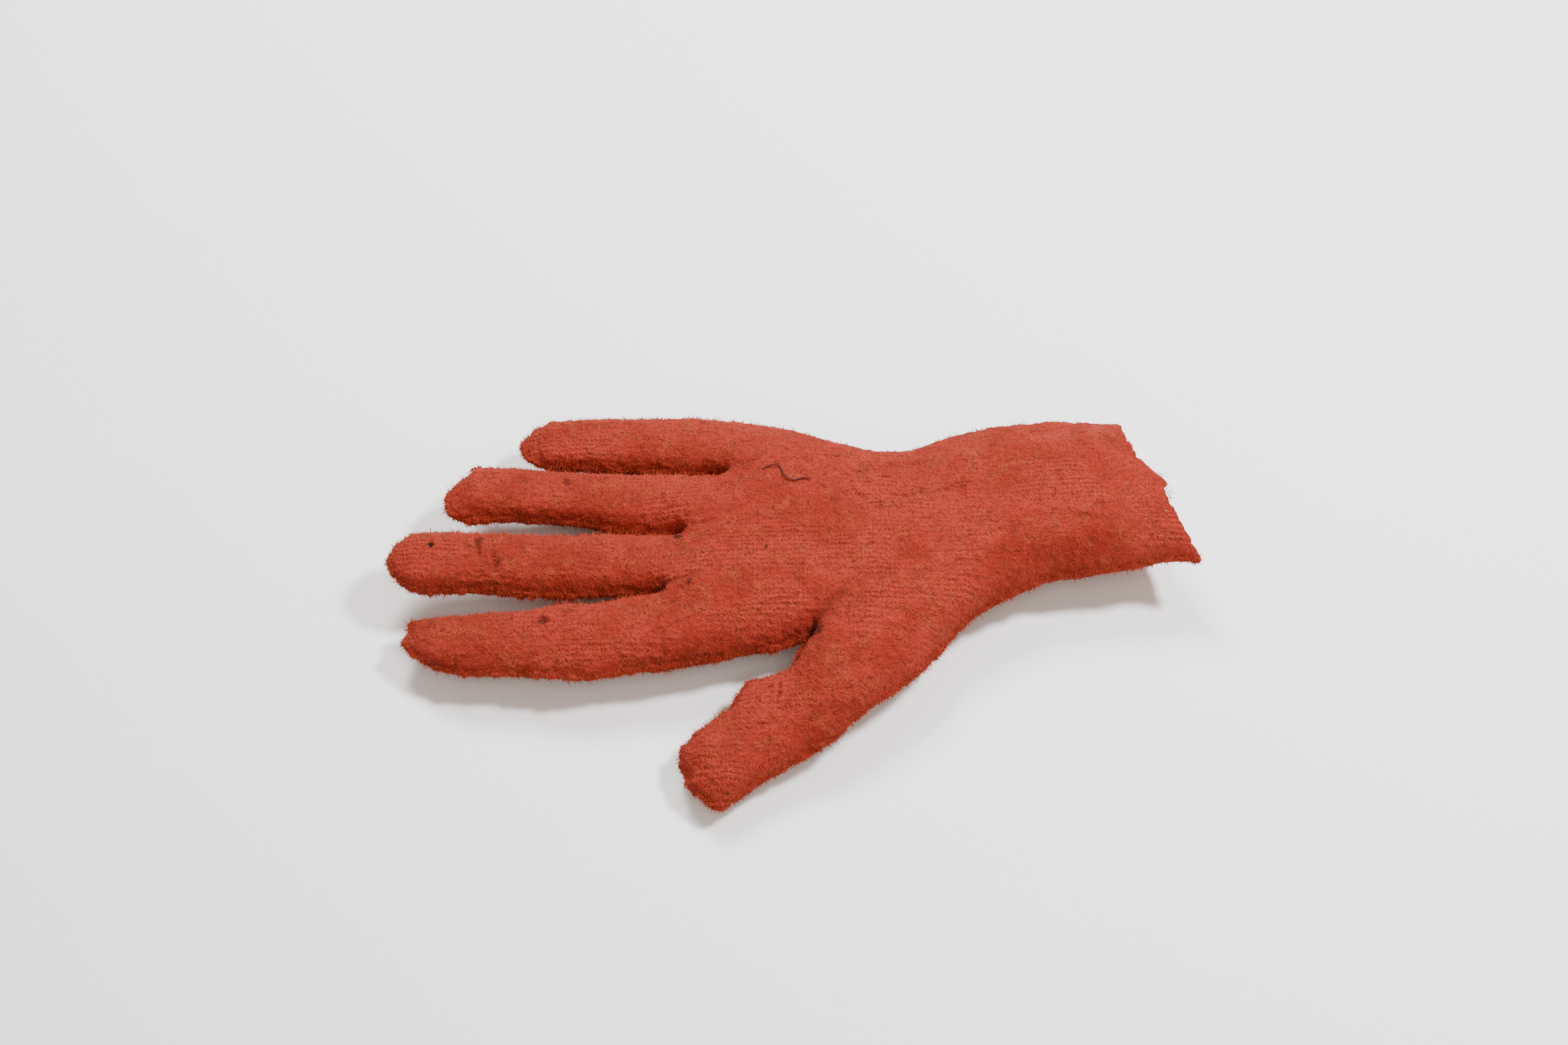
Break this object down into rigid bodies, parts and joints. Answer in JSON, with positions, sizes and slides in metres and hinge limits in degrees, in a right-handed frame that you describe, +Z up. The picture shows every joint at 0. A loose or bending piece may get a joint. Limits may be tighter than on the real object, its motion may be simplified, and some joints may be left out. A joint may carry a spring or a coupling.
{
  "type": "prosthetic hand",
  "caption": "Passive prosthetic hand, palm up: hinged wooden finger cores padded and sewn into a knitted cover, with an open cuff round a wrist block and plate.",
  "frame": {"origin": "middle of the hand's footprint, on the surface it lies on", "axes": "+X from the fingertips to the wrist, +Y from the thumb side to the little finger side, +Z up out of the palm"},
  "size_m": [0.2574, 0.1387, 0.0324],
  "materials": {
    "red_knit": "matte",
    "wadding": "matte",
    "beech": "oiled",
    "steel": "satin",
    "brass": "satin"
  },
  "bodies": {
    "palm": {"palm_core": "beech", "palm_cover": "red_knit", "back_cover": "red_knit", "palm_pad": "wadding", "back_pad": "wadding", "wrist_block": "beech", "wrist_wadding": "wadding", "wrist_plate": "steel", "threaded_insert": "brass", "joint_screw_1": "steel", "joint_screw_2": "steel", "plate_screw_1": "steel", "plate_screw_2": "steel", "thumb_swing_pin": "steel", "index_knuckle_pin": "steel", "middle_knuckle_pin": "steel", "ring_knuckle_pin": "steel", "little_knuckle_pin": "steel"},
    "index_proximal": {"index_proximal_core": "beech", "index_proximal_cover": "red_knit", "index_middle_pin": "steel"},
    "index_middle": {"index_middle_core": "beech", "index_middle_cover": "red_knit", "index_tip_pin": "steel"},
    "index_distal": {"index_distal_core": "beech", "index_distal_cover": "red_knit"},
    "middle_proximal": {"middle_proximal_core": "beech", "middle_proximal_cover": "red_knit", "middle_middle_pin": "steel"},
    "middle_middle": {"middle_middle_core": "beech", "middle_middle_cover": "red_knit", "middle_tip_pin": "steel"},
    "middle_distal": {"middle_distal_core": "beech", "middle_distal_cover": "red_knit"},
    "ring_proximal": {"ring_proximal_core": "beech", "ring_proximal_cover": "red_knit", "ring_middle_pin": "steel"},
    "ring_middle": {"ring_middle_core": "beech", "ring_middle_cover": "red_knit", "ring_tip_pin": "steel"},
    "ring_distal": {"ring_distal_core": "beech", "ring_distal_cover": "red_knit"},
    "little_proximal": {"little_proximal_core": "beech", "little_proximal_cover": "red_knit", "little_middle_pin": "steel"},
    "little_middle": {"little_middle_core": "beech", "little_middle_cover": "red_knit", "little_tip_pin": "steel"},
    "little_distal": {"little_distal_core": "beech", "little_distal_cover": "red_knit"},
    "thumb_base": {"thumb_base_core": "beech", "thumb_knuckle_pin": "steel"},
    "thumb_proximal": {"thumb_proximal_core": "beech", "thumb_proximal_cover": "red_knit", "thumb_tip_pin": "steel"},
    "thumb_distal": {"thumb_distal_core": "beech", "thumb_distal_cover": "red_knit"}
  },
  "joints": [
    {"name": "index_knuckle_hinge", "type": "hinge", "parent": "palm", "child": "index_proximal", "pos_m": [-0.04283, -0.01308, 0.0128], "axis": [-0.0314, 0.9995, 0], "range_deg": [-10, 60]},
    {"name": "index_middle_hinge", "type": "hinge", "parent": "index_proximal", "child": "index_middle", "pos_m": [-0.06531, -0.01379, 0.01221], "axis": [-0.0314, 0.9995, 0], "range_deg": [0, 75]},
    {"name": "index_tip_hinge", "type": "hinge", "parent": "index_middle", "child": "index_distal", "pos_m": [-0.09327, -0.01466, 0.01099], "axis": [-0.0314, 0.9995, 0], "range_deg": [0, 55]},
    {"name": "middle_knuckle_hinge", "type": "hinge", "parent": "palm", "child": "middle_proximal", "pos_m": [-0.04233, 0.01182, 0.013], "axis": [-0.0175, 0.9998, 0], "range_deg": [-10, 60]},
    {"name": "middle_middle_hinge", "type": "hinge", "parent": "middle_proximal", "child": "middle_middle", "pos_m": [-0.06832, 0.01137, 0.01345], "axis": [-0.0175, 0.9998, 0], "range_deg": [0, 75]},
    {"name": "middle_tip_hinge", "type": "hinge", "parent": "middle_middle", "child": "middle_distal", "pos_m": [-0.09928, 0.01083, 0.01508], "axis": [-0.0175, 0.9998, 0], "range_deg": [0, 55]},
    {"name": "ring_knuckle_hinge", "type": "hinge", "parent": "palm", "child": "ring_proximal", "pos_m": [-0.03633, 0.03592, 0.013], "axis": [0.0489, 0.9988, 0], "range_deg": [-10, 60]},
    {"name": "ring_middle_hinge", "type": "hinge", "parent": "ring_proximal", "child": "ring_middle", "pos_m": [-0.05631, 0.0369, 0.01317], "axis": [0.0489, 0.9988, 0], "range_deg": [0, 75]},
    {"name": "ring_tip_hinge", "type": "hinge", "parent": "ring_middle", "child": "ring_distal", "pos_m": [-0.08476, 0.03829, 0.01392], "axis": [0.0489, 0.9988, 0], "range_deg": [0, 55]},
    {"name": "little_knuckle_hinge", "type": "hinge", "parent": "palm", "child": "little_proximal", "pos_m": [-0.02383, 0.05892, 0.013], "axis": [0.007, 1, 0], "range_deg": [-10, 60]},
    {"name": "little_middle_hinge", "type": "hinge", "parent": "little_proximal", "child": "little_middle", "pos_m": [-0.04233, 0.05905, 0.013], "axis": [0.007, 1, 0], "range_deg": [0, 75]},
    {"name": "little_tip_hinge", "type": "hinge", "parent": "little_middle", "child": "little_distal", "pos_m": [-0.06533, 0.05921, 0.013], "axis": [0.007, 1, 0], "range_deg": [0, 55]},
    {"name": "thumb_swing", "type": "hinge", "parent": "palm", "child": "thumb_base", "pos_m": [0.01877, -0.02338, 0.013], "axis": [0, 0, 1], "range_deg": [-10, 10]},
    {"name": "thumb_knuckle_hinge", "type": "hinge", "parent": "thumb_base", "child": "thumb_proximal", "pos_m": [0.01122, -0.02994, 0.013], "axis": [-0.6561, 0.7547, 0], "range_deg": [-5, 45]},
    {"name": "thumb_tip_hinge", "type": "hinge", "parent": "thumb_proximal", "child": "thumb_distal", "pos_m": [-0.00325, -0.04252, 0.00893], "axis": [-0.6561, 0.7547, 0], "range_deg": [0, 60]}
  ]
}
